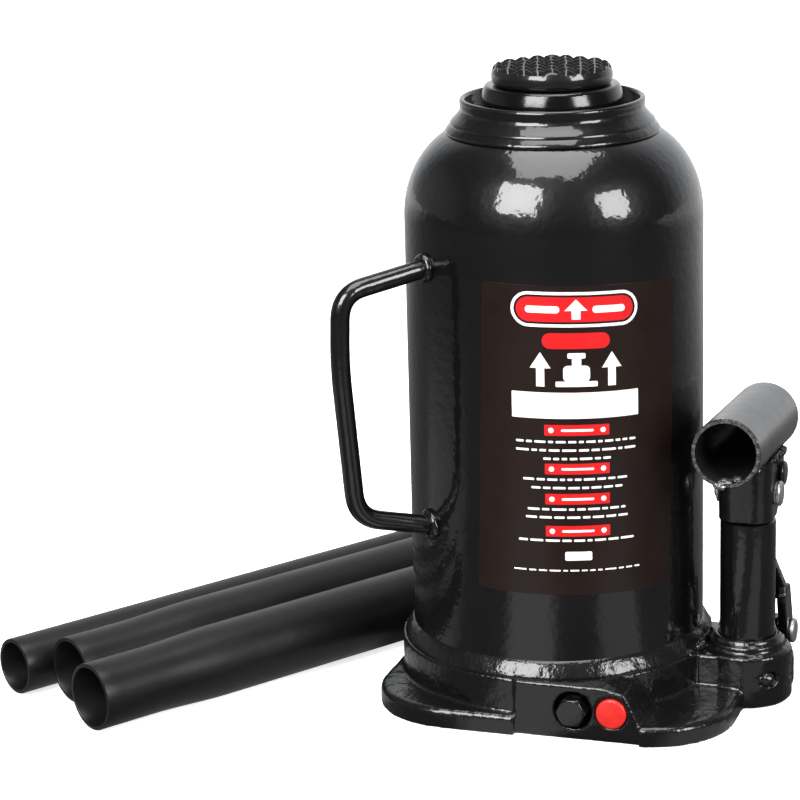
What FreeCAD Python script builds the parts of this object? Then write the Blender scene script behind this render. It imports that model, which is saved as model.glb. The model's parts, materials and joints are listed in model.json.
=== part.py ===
import FreeCAD, Part
import math
import os
from FreeCAD import Vector

# Hydraulic bottle jack with its three-piece pump lever. Millimetres, +Z up.
# The origin is on the ram's axis at floor level. +X points to the hand pump and
# -Y to the front, where the two valves sit and the lever socket opens.

os.makedirs("parts", exist_ok=True)

UP = Vector(0, 0, 1)
BACK = Vector(0, 1, 0)
RIGHT = Vector(1, 0, 0)

# ---------------------------------------------------------------- dimensions
total_height = 242.0

# base casting
flange_left = -61.0
flange_right = 77.0
flange_front = -63.6
flange_back = 57.5
flange_height = 7.6
front_corner_r = 32.0
back_left_corner_r = 52.0
back_right_corner_r = 22.0
boss_r = 60.5
boss_top = 21.0
valve_face_y = -61.6
valve_face_left = 0.0
valve_face_right = 48.0
valve_axis_z = 11.3
release_x = 22.5
safety_x = 37.2
cylinder_floor_z = 14.0

# oil passages and valves inside the casting
passage_r = 1.5
pocket_r = 2.85
ball_r = 2.5
suction_seat_z = 8.0
suction_x = 44.5
suction_y = 9.0
delivery_step_x = 48.0
gallery_y = -12.0
ball_seat_y = -23.6
valve_bore_r = 3.1
spindle_r = 5.0
adjuster_r = 4.0
cap_r = 5.75
seat_depth = math.sqrt(ball_r ** 2 - passage_r ** 2)

# reservoir
tank_r = 56.1
tank_wall = 2.6
tank_bottom = boss_top
dome_start = 185.7
dome_rise = 34.2
dome_width = 28.05
collar_joint_r = 37.0
foot_weld_top = 26.0
filler_z = 160.0
filler_hole_r = 5.0

# cylinder head collar and main cylinder
collar_r = 38.3
collar_spigot_bottom = 205.0
lip_r = 34.6
lip_top = 229.6
lip_bottom = 225.0
lip_wall = 2.2
recess_floor = 224.0
wiper_bottom = 218.5
wiper_top = 222.0
cylinder_r = 34.0
cylinder_bore_r = 30.0
cylinder_top = 213.0
bush_bottom = 193.0

# ram and extension screw
ram_r = 26.6
ram_bore_r = 19.6
ram_top = 234.4
ram_taper = 1.3
ram_taper_length = 4.8
ram_nut_r = 17.1
ram_nut_length = 26.0
ram_bore_bottom = 130.0
piston_r = 29.95
piston_top = 40.0
cup_top = 32.0
piston_nut_top = 22.0
piston_nut_bottom = 14.6
ram_spigot_r = 20.0
screw_crest_r = 17.0
screw_root_r = 15.2
screw_pitch = 6.0
screw_bottom = 138.0
saddle_r = 22.4
running_gap = 0.06

# hand pump
pump_x = 75.0
pump_boss_r = 17.0
pump_boss_top = 20.6
pump_tube_r = 10.55
pump_tube_top = 71.2
pump_tube_bottom = 13.6
plunger_r = 5.5
plunger_bottom = 27.0
pin_r = 3.0
pin_head_r = 4.8
pin_head_length = 2.0

# lever socket and linkage, in the pump's own plane (Y, Z)
plunger_pin = (0.0, 81.5)
link_pin = (10.0, 86.5)
anchor_pin = (20.0, 20.0)
socket_r = 12.9
socket_wall = 1.5
socket_length = 71.0
socket_mouth = (-40.2, 107.7)
socket_tilt_deg = 3.8
fork_half_width = 10.3
fork_wall = 3.0
fork_bottom = 72.0
fork_front = -11.0

link_half_width = 12.8
lug_half_width = 8.6
lug_gap = 9.3
pivot_slack = 1.0
oring_y = -46.0
delivery_seat_x = 58.6

# rating label on the tank wall
label_direction_deg = -64.2
label_width = 71.4
label_height = 117.0
label_middle_z = 111.6
label_thickness = 0.2
label_skew_deg = -1.8

# carry handle: corner points as (distance from the ram axis, height)
handle_rod_r = 3.6
handle_direction_deg = -132.0
handle_points = [(54.6, 171.8), (91.6, 166.6), (92.6, 140.0), (87.6, 81.0), (54.6, 72.0)]
handle_bend_r = 9.0

# pump lever in three sections, lying on the floor beside the jack
lever_direction_deg = 57.6
lever_length = 280.0
lever_wall = 1.6
# name, radius, neck radius, neck length, start along and across the lying direction
lever_sections = [
    ("lever_outer_section", 14.0, 12.9, 36.0, -167.8, 76.3),
    ("lever_middle_section", 14.0, 12.9, 36.0, -157.5, 105.6),
    ("lever_socket_section", 11.0, 11.0, 36.0, -167.0, 131.0),
]


# ------------------------------------------------------------------- helpers
def save(shape, node):
    """Write one named subcomponent."""
    shape.exportStep("parts/" + node + ".step")


def upright(r, z0, z1, x=0.0, y=0.0):
    """Solid cylinder standing on z0."""
    return Part.makeCylinder(r, z1 - z0, Vector(x, y, z0), UP)


def tube(r_out, r_in, z0, z1, x=0.0, y=0.0):
    """Upright ring or tube."""
    return upright(r_out, z0, z1, x, y).cut(upright(r_in, z0 - 1, z1 + 1, x, y))


def along(axis, r, start, length):
    """Solid cylinder from a start point along a direction."""
    return Part.makeCylinder(r, length, Vector(*start), axis)


def block(x0, x1, y0, y1, z0, z1):
    """Axis-aligned box between two corners."""
    return Part.makeBox(x1 - x0, y1 - y0, z1 - z0, Vector(x0, y0, z0))


def turned(profile, x=0.0, y=0.0):
    """Solid of revolution about an upright axis from (radius, height) points."""
    points = [Vector(x + r, y, z) for r, z in profile]
    face = Part.Face(Part.makePolygon(points + [points[0]]))
    return face.revolve(Vector(x, y, 0), UP, 360)


def plate_yz(points, x0, x1):
    """Flat plate cut to a (Y, Z) outline, between two X positions."""
    corners = [Vector(x0, y, z) for y, z in points]
    face = Part.Face(Part.makePolygon(corners + [corners[0]]))
    return face.extrude(Vector(x1 - x0, 0, 0))


def polar(distance, direction_deg, z):
    """Point at a distance from the ram axis in a plan direction."""
    angle = math.radians(direction_deg)
    return Vector(distance * math.cos(angle), distance * math.sin(angle), z)


def fuse_all(shapes):
    """One solid from several touching ones, with merged faces."""
    return shapes[0].multiFuse(shapes[1:]).removeSplitter()


def rounded_outline(corners):
    """Closed outline with a radius at each corner; corners are (x, y, radius)."""
    count = len(corners)
    edges = []
    ends = []
    for i in range(count):
        x, y, radius = corners[i]
        here = Vector(x, y, 0)
        before = Vector(corners[i - 1][0], corners[i - 1][1], 0)
        after = Vector(corners[(i + 1) % count][0], corners[(i + 1) % count][1], 0)
        back_dir = (before - here).normalize()
        next_dir = (after - here).normalize()
        half = back_dir.getAngle(next_dir) / 2
        reach = radius / math.tan(half)
        start = here + back_dir * reach
        end = here + next_dir * reach
        middle_dir = (back_dir + next_dir).normalize()
        centre = here + middle_dir * (radius / math.sin(half))
        ends.append((start, centre - middle_dir * radius, end))
    for i in range(count):
        start, middle, end = ends[i]
        edges.append(Part.Arc(start, middle, end).toShape())
        next_start = ends[(i + 1) % count][0]
        if (next_start - end).Length > 1e-6:
            edges.append(Part.makeLine(end, next_start))
    return Part.Face(Part.Wire(edges))


def swept_rod(points, radius, bend_r):
    """Round rod along a polyline whose inner corners are bent to a radius."""
    edges = []
    here = points[0]
    for i in range(1, len(points) - 1):
        to_before = (points[i - 1] - points[i]).normalize()
        to_after = (points[i + 1] - points[i]).normalize()
        half = to_before.getAngle(to_after) / 2
        reach = bend_r / math.tan(half)
        middle_dir = (to_before + to_after).normalize()
        middle = points[i] + middle_dir * (bend_r / math.sin(half) - bend_r)
        start = points[i] + to_before * reach
        end = points[i] + to_after * reach
        edges.append(Part.makeLine(here, start))
        edges.append(Part.Arc(start, middle, end).toShape())
        here = end
    edges.append(Part.makeLine(here, points[-1]))
    path = Part.Wire(edges)
    section = Part.Wire(Part.makeCircle(radius, points[0], points[1] - points[0]))
    return path.makePipeShell([section], True, False)


def coil_spring(wire_r, coil_r, pitch, length, start, axis):
    """Coil spring along an axis, with its first coil starting at start."""
    coil = Part.makeHelix(pitch, length, coil_r)
    section = Part.Wire(Part.makeCircle(wire_r, Vector(coil_r, 0, 0), BACK))
    spring = Part.Wire(coil.Edges).makePipeShell([section], True, True)
    spring.Placement = FreeCAD.Placement(Vector(*start), FreeCAD.Rotation(UP, axis))
    return spring


def capsule_yz(p, q, radius, x0, x1):
    """Flat bar with round ends between two (Y, Z) points."""
    ends = [along(RIGHT, radius, (x0, point[0], point[1]), x1 - x0) for point in (p, q)]
    run = Vector(0, q[0] - p[0], q[1] - p[1])
    side = run.cross(RIGHT).normalize() * radius
    corners = [(p[0] + side.y, p[1] + side.z), (q[0] + side.y, q[1] + side.z),
               (q[0] - side.y, q[1] - side.z), (p[0] - side.y, p[1] - side.z)]
    return fuse_all([plate_yz(corners, x0, x1)] + ends)


# -------------------------------------------------------------- base casting
def base_casting():
    """Cast foot with the valve block, the pump arm and every drilled oil passage."""
    flange = rounded_outline([
        (flange_left, flange_front, front_corner_r),
        (flange_right, flange_front, front_corner_r),
        (flange_right, flange_back, back_right_corner_r),
        (flange_left, flange_back, back_left_corner_r),
    ]).extrude(Vector(0, 0, flange_height))
    top_edges = [edge for edge in flange.Edges
                 if abs(edge.BoundBox.ZMin - flange_height) < 1e-6]
    flange = flange.makeFillet(2.4, top_edges)
    recess = block(valve_face_left, valve_face_right, flange_front - 5, valve_face_y,
                   -1, boss_top)
    flange = flange.cut(recess)
    boss = upright(boss_r, 0, boss_top)

    # valve block: flat front face with a rounded upper right shoulder
    shoulder = 9.0
    right = valve_face_right
    outline = [Vector(valve_face_left, valve_face_y, 0),
               Vector(valve_face_left, valve_face_y, boss_top),
               Vector(right - 14, valve_face_y, boss_top),
               Vector(right - 6, valve_face_y, boss_top - 2.0),
               Vector(right - 2.4, valve_face_y, boss_top - shoulder),
               Vector(right, valve_face_y, flange_height - 1),
               Vector(right, valve_face_y, 0)]
    face = Part.Face(Part.makePolygon(outline + [outline[0]]))
    valve_block = face.extrude(Vector(0, 45, 0))

    # arm, pump boss and the anchor lug for the link
    arm = block(30, pump_x, -15, 13, 0, boss_top - 1.2)
    pump_boss = turned([(0, 0), (pump_boss_r - 1.2, 0), (pump_boss_r, 1.2),
                        (pump_boss_r, pump_boss_top - 1), (pump_boss_r - 1, pump_boss_top),
                        (14.6, pump_boss_top + 0.3), (14.3, 23.4), (12.9, 23.8),
                        (12.5, 25.6), (0, 25.6)], pump_x, 0)
    lobe = upright(13.5, 0, 12.5, pump_x + 1.5, 14.5)
    lug = plate_yz([(12.4, 0), (26.5, 0), (26.5, 20), (24.5, 24.5), (20, 26.5), (14.2, 26.5),
                    (12.9, 24)], pump_x - lug_half_width, pump_x + lug_half_width)
    casting = fuse_all([flange, boss, valve_block, arm, pump_boss, lobe, lug])

    z = valve_axis_z
    drill = valve_face_y - 6
    boss_end = pump_x + pump_boss_r + 2
    cuts = [
        # seat of the main cylinder
        upright(cylinder_r + 0.03, cylinder_floor_z, boss_top + 1),
        # seat of the pump cylinder, pump chamber and suction ball seat
        upright(pump_tube_r + 0.03, pump_tube_bottom, 30, pump_x, 0),
        upright(pocket_r, suction_seat_z, pump_tube_bottom + 1, pump_x, 0),
        upright(passage_r, 4.6, suction_seat_z + 1, pump_x, 0),
        # suction passage from the reservoir floor
        upright(passage_r, 4.6, boss_top + 1, suction_x, suction_y),
        along(Vector(pump_x - suction_x, -suction_y, 0), passage_r,
              (suction_x, suction_y, 6.2), math.hypot(pump_x - suction_x, suction_y)),
        # delivery passage, drilled from the arm's end and opening in the cylinder floor
        along(-RIGHT, pocket_r, (boss_end, 0, z), boss_end - delivery_step_x),
        along(-RIGHT, passage_r, (boss_end, 0, z), boss_end - 22.0),
        upright(passage_r, z, cylinder_floor_z + 1, 22.0, 0),
        # gallery joining both valves to the cylinder floor, drilled from the arm's end
        along(-RIGHT, passage_r, (boss_end, gallery_y, z), boss_end - 10.0),
        along(-RIGHT, pocket_r, (boss_end, gallery_y, z), 12.0),
        upright(passage_r, z, cylinder_floor_z + 1, 10.0, gallery_y),
        # release valve: counterbore, spindle bore, ball bore, passage, return to reservoir
        along(BACK, 7.1, (release_x, drill, z), 6 + 3.6),
        along(BACK, spindle_r + running_gap, (release_x, drill, z), 6 + 27.0),
        along(BACK, valve_bore_r, (release_x, drill, z), ball_seat_y - drill),
        along(BACK, passage_r, (release_x, drill, z), gallery_y - drill),
        upright(passage_r, z, boss_top + 1, release_x, -38.0),
        # safety valve: cap seat, screw bore, ball bore, passage, vent to reservoir
        along(BACK, cap_r + 0.03, (safety_x, drill, z), 6 + 2.4),
        along(BACK, adjuster_r + 0.03, (safety_x, drill, z), 6 + 30.0),
        along(BACK, valve_bore_r, (safety_x, drill, z), ball_seat_y - drill),
        along(BACK, passage_r, (safety_x, drill, z), gallery_y - drill),
        upright(passage_r, z, boss_top + 1, safety_x, -30.0),
        # link anchor hole
        along(RIGHT, pin_r + running_gap, (pump_x - 20, anchor_pin[0], anchor_pin[1]), 40),
    ]
    for cut in cuts:
        casting = casting.cut(cut)
    return casting.removeSplitter()


save(base_casting(), "base_casting")


# ----------------------------------------------------------------- reservoir
def dome_profile(inset):
    """Dome outline from the cylinder top inwards, moved in by a wall thickness."""
    centre_r = tank_r - dome_width
    steps = 12
    points = []
    for i in range(steps + 1):
        t = math.radians(75.0) * i / steps
        r = centre_r + (dome_width - inset) * math.cos(t)
        z = dome_start + (dome_rise - inset) * math.sin(t)
        points.append((r, z))
    return [point for point in points if point[0] > collar_joint_r]


def reservoir_shell():
    """Tank wall and dome in one sheet, with the filler hole at the back."""
    outside = dome_profile(0.0)
    inside = dome_profile(tank_wall)
    top_out = (collar_joint_r, outside[-1][1] + 0.35)
    top_in = (collar_joint_r, inside[-1][1] + 0.35)
    profile_out = [Vector(r, 0, z) for r, z in outside + [top_out]]
    profile_in = [Vector(r, 0, z) for r, z in [top_in] + inside[::-1]]
    curve_out = Part.BSplineCurve()
    curve_out.interpolate(profile_out)
    curve_in = Part.BSplineCurve()
    curve_in.interpolate(profile_in)
    inner_r = tank_r - tank_wall
    edges = [
        Part.makeLine(Vector(inner_r, 0, tank_bottom), Vector(tank_r, 0, tank_bottom)),
        Part.makeLine(Vector(tank_r, 0, tank_bottom), profile_out[0]),
        curve_out.toShape(),
        Part.makeLine(profile_out[-1], profile_in[0]),
        curve_in.toShape(),
        Part.makeLine(profile_in[-1], Vector(inner_r, 0, tank_bottom)),
    ]
    shell = Part.Face(Part.Wire(edges)).revolve(Vector(0, 0, 0), UP, 360)
    return shell.cut(along(BACK, filler_hole_r, (0, tank_r - 8, filler_z), 12))


save(reservoir_shell(), "reservoir_shell")

# bevelled fillet weld all round the foot of the tank
save(turned([(tank_r, boss_top), (boss_r - 0.4, boss_top), (boss_r - 1.0, boss_top + 1.4),
             (tank_r + 0.7, foot_weld_top - 0.6), (tank_r, foot_weld_top)]), "reservoir_foot_weld")

# joint circle of dome and collar
dome_joint_z = dome_start + dome_rise * math.sin(math.acos(
    (collar_joint_r - tank_r + dome_width) / dome_width))


def cylinder_head_collar():
    """Threaded cylinder head: flared foot on the dome, upright lip, ram guide bore."""
    foot_z = dome_joint_z + 0.1
    bore_r = ram_r + running_gap
    spigot_r = collar_joint_r - 0.02
    seat_r = cylinder_r + 0.02
    return turned([
        (bore_r, cylinder_top), (bore_r, wiper_bottom), (29.6, wiper_bottom),
        (29.6, wiper_top), (bore_r, wiper_top), (bore_r, recess_floor),
        (lip_r - lip_wall, recess_floor), (lip_r - lip_wall, lip_top - 0.9),
        (lip_r - lip_wall + 0.8, lip_top), (lip_r - 0.8, lip_top), (lip_r, lip_top - 0.9),
        (lip_r - 0.2, lip_bottom + 0.6), (lip_r + 0.3, lip_bottom - 0.6),
        (collar_r - 0.9, 221.6), (collar_r, 220.6), (collar_r, foot_z),
        (spigot_r, foot_z), (spigot_r, collar_spigot_bottom),
        (seat_r, collar_spigot_bottom), (seat_r, cylinder_top),
    ])


save(cylinder_head_collar(), "cylinder_head_collar")

# fillet weld between the dome and the collar
save(turned([(collar_r, dome_joint_z + 0.1), (collar_r + 1.9, dome_joint_z - 1.0 + 0.4),
             (collar_r + 1.3, dome_joint_z + 0.9), (collar_r, dome_joint_z + 2.0)]),
     "collar_weld")
save(tube(29.58, ram_r + 0.03, wiper_bottom + 0.05, wiper_top - 0.05), "ram_wiper_seal")
save(tube(cylinder_bore_r - 0.01, ram_r + running_gap, bush_bottom, cylinder_top),
     "ram_guide_bush")
save(tube(cylinder_r, cylinder_bore_r, cylinder_floor_z + 1.0, cylinder_top),
     "main_cylinder")
save(tube(cylinder_r, cylinder_bore_r, cylinder_floor_z, cylinder_floor_z + 1.0),
     "main_cylinder_gasket")

# rubber filler plug in the back wall of the tank
plug = fuse_all([along(BACK, filler_hole_r - 0.02, (0, tank_r - 5, filler_z), 6.6),
                 along(BACK, 7.4, (0, tank_r + 0.55, filler_z), 2.6)])
save(plug.makeFillet(0.8, [edge for edge in plug.Edges
                           if abs(edge.BoundBox.YMin - tank_r - 3.15) < 1e-3]),
     "filler_plug")


# --------------------------------------------------------------- ram and screw
def ram():
    """Hollow ram with a turned-down spigot for the piston and a threaded mouth."""
    return turned([
        (0, piston_nut_bottom), (ram_spigot_r - 1, piston_nut_bottom),
        (ram_spigot_r, piston_nut_bottom + 1), (ram_spigot_r, piston_top), (ram_r, piston_top),
        (ram_r, ram_top - ram_taper_length), (ram_r - ram_taper, ram_top - 0.9),
        (ram_r - ram_taper - 0.9, ram_top),
        (ram_nut_r, ram_top), (ram_nut_r, ram_top - ram_nut_length),
        (ram_bore_r, ram_top - ram_nut_length - 2), (ram_bore_r, ram_bore_bottom),
        (0, ram_bore_bottom - 6),
    ])


save(ram(), "ram")
save(tube(piston_r - 0.05, ram_spigot_r, cup_top, piston_top), "piston_ring")
save(turned([(ram_spigot_r, piston_nut_top), (24.5, piston_nut_top), (24.5, cup_top - 3),
             (27.4, cup_top - 3), (28.6, piston_nut_top), (piston_r, piston_nut_top),
             (piston_r, cup_top), (ram_spigot_r, cup_top)]), "piston_cup_seal")
piston_nut = tube(24.4, ram_spigot_r, piston_nut_bottom, piston_nut_top)
for spanner_slot in range(4):
    slot = block(19, 26, -2, 2, piston_nut_bottom - 1, piston_nut_bottom + 3)
    slot.rotate(Vector(0, 0, 0), UP, 90 * spanner_slot)
    piston_nut = piston_nut.cut(slot)
save(piston_nut, "piston_nut")


def extension_screw():
    """Screw with a serrated round head; the thread is cut as a row of grooves."""
    head_z = ram_top + 0.05
    profile = [(0, screw_bottom), (11.0, screw_bottom), (11.0, screw_bottom + 7)]
    z = screw_bottom + 7
    while z + screw_pitch < ram_top - 2:
        profile += [(screw_root_r, z), (screw_root_r, z + 1.6), (screw_crest_r, z + 2.6),
                    (screw_crest_r, z + 5.0)]
        z += screw_pitch
    profile += [(screw_root_r, z), (screw_root_r, head_z), (saddle_r - 1.2, head_z),
                (saddle_r, head_z + 1.2), (saddle_r + 0.15, head_z + 3.2),
                (saddle_r - 0.3, total_height - 2.0), (saddle_r - 2.2, total_height),
                (0, total_height)]
    screw = turned(profile)
    depth = 2.0
    spacing = 5.6
    for direction in (25, 115):
        for i in range(-4, 5):
            middle = spacing * (i + 0.5)
            groove = plate_yz([(middle - 2.1, total_height + 0.2),
                               (middle + 2.1, total_height + 0.2),
                               (middle + 0.5, total_height - depth),
                               (middle - 0.5, total_height - depth)], -30, 30)
            groove.rotate(Vector(0, 0, 0), UP, direction)
            screw = screw.cut(groove)
    return screw


save(extension_screw(), "extension_screw")
save(tube(ram_bore_r - 0.2, 11.05, screw_bottom + 0.5, screw_bottom + 6.5),
     "screw_stop_ring")


# -------------------------------------------------------------- carry handle
handle_path = [polar(distance, handle_direction_deg, z) for distance, z in handle_points]
handle_rod = swept_rod(handle_path, handle_rod_r, handle_bend_r)
tank_core = upright(tank_r, 0, total_height)
save(handle_rod.cut(tank_core), "carry_handle")
beads = []
for z in (handle_points[0][1] - 0.2, handle_points[-1][1] + 0.5):
    ring = Part.makeTorus(handle_rod_r + 0.7, 1.8, polar(tank_r + 0.5, handle_direction_deg, z),
                          polar(1, handle_direction_deg, 0))
    beads.append(ring.cut(tank_core).cut(handle_rod))
save(Part.makeCompound(beads), "carry_handle_welds")


# ------------------------------------------------------------------ hand pump
pump_cylinder = tube(pump_tube_r, 7.5, pump_tube_bottom, pump_tube_top, pump_x)
save(pump_cylinder.makeFillet(0.8, [edge for edge in pump_cylinder.Edges
                                    if edge.BoundBox.ZMin > pump_tube_top - 0.01
                                    and edge.BoundBox.XLength > 20]), "pump_cylinder")
save(tube(7.48, plunger_r + running_gap, 61.0, pump_tube_top - 0.2, pump_x),
     "pump_gland_nut")
save(tube(7.48, plunger_r + 0.03, 52.0, 60.95, pump_x), "pump_packing")


def plunger():
    """Round plunger with a rounded eye at the top and a stud for its cup seal."""
    y, z = plunger_pin
    rod = upright(plunger_r, plunger_bottom, z, pump_x, 0)
    eye = along(RIGHT, plunger_r, (pump_x - plunger_r, y, z), 2 * plunger_r)
    dome = eye.common(upright(plunger_r, z - 8, z + 8, pump_x, 0))
    stud = upright(2.5, plunger_bottom - 6, plunger_bottom, pump_x, 0)
    hole = along(RIGHT, pin_r + pivot_slack, (pump_x - 10, y, z), 20)
    return fuse_all([rod, dome, stud]).cut(hole)


save(plunger(), "pump_plunger")
save(turned([(2.5, plunger_bottom - 5.5), (7.0, plunger_bottom - 5.5),
             (7.44, plunger_bottom - 4), (7.44, plunger_bottom - 0.05),
             (2.5, plunger_bottom - 0.05)], pump_x, 0), "plunger_cup_seal")


# -------------------------------------------------------- socket and linkage
socket_dir = Vector(0, math.cos(math.radians(socket_tilt_deg)),
                    -math.sin(math.radians(socket_tilt_deg)))
socket_start = Vector(pump_x, socket_mouth[0], socket_mouth[1])


def socket_cylinder(radius, extra):
    """Cylinder on the socket's axis, longer than the socket by extra at both ends."""
    return Part.makeCylinder(radius, socket_length + 2 * extra,
                             socket_start - socket_dir * extra, socket_dir)


lever_socket = socket_cylinder(socket_r, 0).cut(socket_cylinder(socket_r - socket_wall, 1))
save(lever_socket, "lever_socket")


def fork():
    """U-shaped sheet fork under the socket: round front, two cheeks for the pins."""
    y_back = 22.0
    inner = fork_half_width - fork_wall
    outside = rounded_outline([
        (pump_x - fork_half_width, fork_front, 7.0), (pump_x + fork_half_width, fork_front, 7.0),
        (pump_x + fork_half_width, y_back, 0.5), (pump_x - fork_half_width, y_back, 0.5)])
    inside = rounded_outline([
        (pump_x - inner, fork_front + fork_wall, 4.0),
        (pump_x + inner, fork_front + fork_wall, 4.0),
        (pump_x + inner, y_back + 5, 0.5), (pump_x - inner, y_back + 5, 0.5)])
    shape = outside.extrude(UP * 40).cut(inside.extrude(UP * 40))
    shape.translate(UP * (fork_bottom - 4))
    y, z = link_pin
    side = fuse_all([
        plate_yz([(fork_front - 1, fork_bottom), (4.0, fork_bottom), (y + 5.5, z - 3.5),
                  (y + 6.4, z), (y + 6.4, z + 16), (fork_front - 1, z + 18)],
                 pump_x - 20, pump_x + 20),
        along(RIGHT, 6.4, (pump_x - 20, y, z), 40)])
    shape = shape.common(side).cut(socket_cylinder(socket_r, 5))
    for pin in (plunger_pin, link_pin):
        shape = shape.cut(along(RIGHT, pin_r, (pump_x - 20, pin[0], pin[1]), 40))
    return max(shape.Solids, key=lambda solid: solid.Volume)


save(fork(), "socket_fork")


def headed_pin(point, half_span, washer):
    """Pin along X with a domed head on the right and a plain end on the left."""
    y, z = point
    head_x = pump_x + half_span + washer
    shank = along(RIGHT, pin_r, (pump_x - half_span - 2.4, y, z), 2 * half_span + washer + 2.4)
    head = along(RIGHT, pin_head_r, (head_x, y, z), pin_head_length)
    rim = [edge for edge in head.Edges if edge.BoundBox.XMin > head_x + 1]
    return fuse_all([shank, head.makeFillet(0.9, rim)])


def push_on_clip(point, half_span):
    """Round spring clip pushed on the left end of a pin."""
    y, z = point
    ring = along(RIGHT, 4.6, (pump_x - half_span - 1.3, y, z), 1.0)
    return ring.cut(along(RIGHT, pin_r, (pump_x - half_span - 3, y, z), 6))


save(headed_pin(plunger_pin, fork_half_width, 1.0), "plunger_pin")
save(headed_pin(link_pin, fork_half_width, 0.3), "link_upper_pin")
save(headed_pin(anchor_pin, link_half_width, 0.3), "link_lower_pin")
washer = along(RIGHT, 4.4, (pump_x + fork_half_width + 0.1, plunger_pin[0], plunger_pin[1]), 0.85)
save(washer.cut(along(RIGHT, pin_r, (pump_x, plunger_pin[0], plunger_pin[1]), 20)),
     "plunger_pin_washer")
save(Part.makeCompound([push_on_clip(plunger_pin, fork_half_width),
                        push_on_clip(link_pin, fork_half_width)]), "fork_pin_clips")
save(push_on_clip(anchor_pin, link_half_width), "link_lower_clip")


def pump_link():
    """Link: eye at the top, flat shank behind the pump, two legs astride the lug."""
    y, z = link_pin
    shank_half = fork_half_width - fork_wall - 0.7
    front = pump_tube_r + 0.75
    eye = along(RIGHT, 4.3, (pump_x - shank_half, y, z), 2 * shank_half)
    outline = [(-shank_half, z - 1), (-shank_half, 54), (-link_half_width, 39),
               (-link_half_width, 31), (link_half_width, 31), (link_half_width, 39),
               (shank_half, 54), (shank_half, z - 1)]
    corners = [Vector(pump_x + x, front, height) for x, height in outline]
    shank = Part.Face(Part.makePolygon(corners + [corners[0]])).extrude(Vector(0, 3.6, 0))
    leg_gap = block(pump_x - lug_gap, pump_x + lug_gap, 0, 40, 0, 35.5)
    legs = [capsule_yz((front + 3.2, 35.5), anchor_pin, 5.4, pump_x + a, pump_x + b)
            for a, b in ((-link_half_width, -lug_gap), (lug_gap, link_half_width))]
    link = fuse_all([eye, shank.cut(leg_gap)] + legs)
    link = link.cut(along(RIGHT, pin_r + running_gap, (pump_x - 20, y, z), 40))
    return link.cut(along(RIGHT, pin_r, (pump_x - 20, anchor_pin[0], anchor_pin[1]), 40))


save(pump_link(), "pump_link")


# -------------------------------------------------------------------- valves
def release_spindle():
    """Release valve spindle: chamfered hexagon head, grooved stem, pusher tip."""
    z = valve_axis_z
    face = valve_face_y
    head_start = face - 3.4
    hexagon = [Vector(release_x + 5.9 * math.cos(math.radians(60 * i)), head_start,
                      z + 5.9 * math.sin(math.radians(60 * i))) for i in range(6)]
    head = Part.Face(Part.makePolygon(hexagon + [hexagon[0]])).extrude(BACK * 6.6)
    dome = Part.makeCone(4.9, 7.0, 2.1, Vector(release_x, head_start, z), BACK)
    dome = dome.fuse(along(BACK, 7.0, (release_x, head_start + 2.1, z), 6))
    head = head.common(dome)
    stem = along(BACK, spindle_r, (release_x, face + 3.2, z), 23.3)
    groove = along(BACK, 8, (release_x, oring_y - 1.1, z), 2.2)
    groove = groove.cut(along(BACK, 3.4, (release_x, oring_y - 2, z), 4))
    tip_length = ball_seat_y - seat_depth - ball_r - (face + 26.5)
    tip = along(BACK, 2.4, (release_x, face + 26.5, z), tip_length - 0.01)
    return fuse_all([head, stem.cut(groove), tip])


save(release_spindle(), "release_valve_spindle")
save(Part.makeTorus(4.22, 0.8, Vector(release_x, oring_y, valve_axis_z), BACK),
     "release_valve_oring")


def ball(x, y, z):
    """Valve ball resting at a point."""
    return Part.makeSphere(ball_r, Vector(x, y, z))


save(ball(release_x, ball_seat_y - seat_depth, valve_axis_z), "release_valve_ball")
save(ball(safety_x, ball_seat_y - seat_depth, valve_axis_z), "safety_valve_ball")
save(ball(pump_x, 0, suction_seat_z + seat_depth), "suction_valve_ball")
delivery_ball_x = delivery_seat_x - seat_depth
save(ball(delivery_ball_x, 0, valve_axis_z), "delivery_valve_ball")
seat = along(RIGHT, pocket_r - 0.01, (delivery_seat_x, 0, valve_axis_z), 5)
save(seat.cut(along(RIGHT, passage_r, (delivery_seat_x - 1, 0, valve_axis_z), 8)),
     "delivery_valve_seat")

adjuster_start = valve_face_y + 9
spring_end = ball_seat_y - seat_depth - 1.6
adjuster = along(BACK, adjuster_r, (safety_x, adjuster_start, valve_axis_z), 11)
slot = block(safety_x - 5, safety_x + 5, adjuster_start - 1, adjuster_start + 1.6,
             valve_axis_z - 0.6, valve_axis_z + 0.6)
save(adjuster.cut(slot), "safety_valve_adjuster")
cap = along(BACK, cap_r, (safety_x, valve_face_y - 0.9, valve_axis_z), 3.2)
save(cap.makeFillet(0.6, [edge for edge in cap.Edges
                          if edge.BoundBox.YMax < valve_face_y - 0.8]), "safety_valve_cap")
spring_start = adjuster_start + 11.55
save(coil_spring(0.45, 2.2, 1.5, spring_end - spring_start - 0.5,
                 (safety_x, spring_start, valve_axis_z), BACK), "safety_valve_spring")
save(coil_spring(0.3, 1.9, 0.95, delivery_ball_x - 1.9 - delivery_step_x - 0.8,
                 (delivery_step_x + 0.4, 0, valve_axis_z), RIGHT), "delivery_valve_spring")

plugs = [along(-RIGHT, pocket_r - 0.01, (pump_x + pump_boss_r - 0.4, 0, valve_axis_z), 5),
         along(-RIGHT, pocket_r - 0.01, (pump_x + 11.6, gallery_y, valve_axis_z), 4)]
save(Part.makeCompound(plugs), "passage_plugs")


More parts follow.
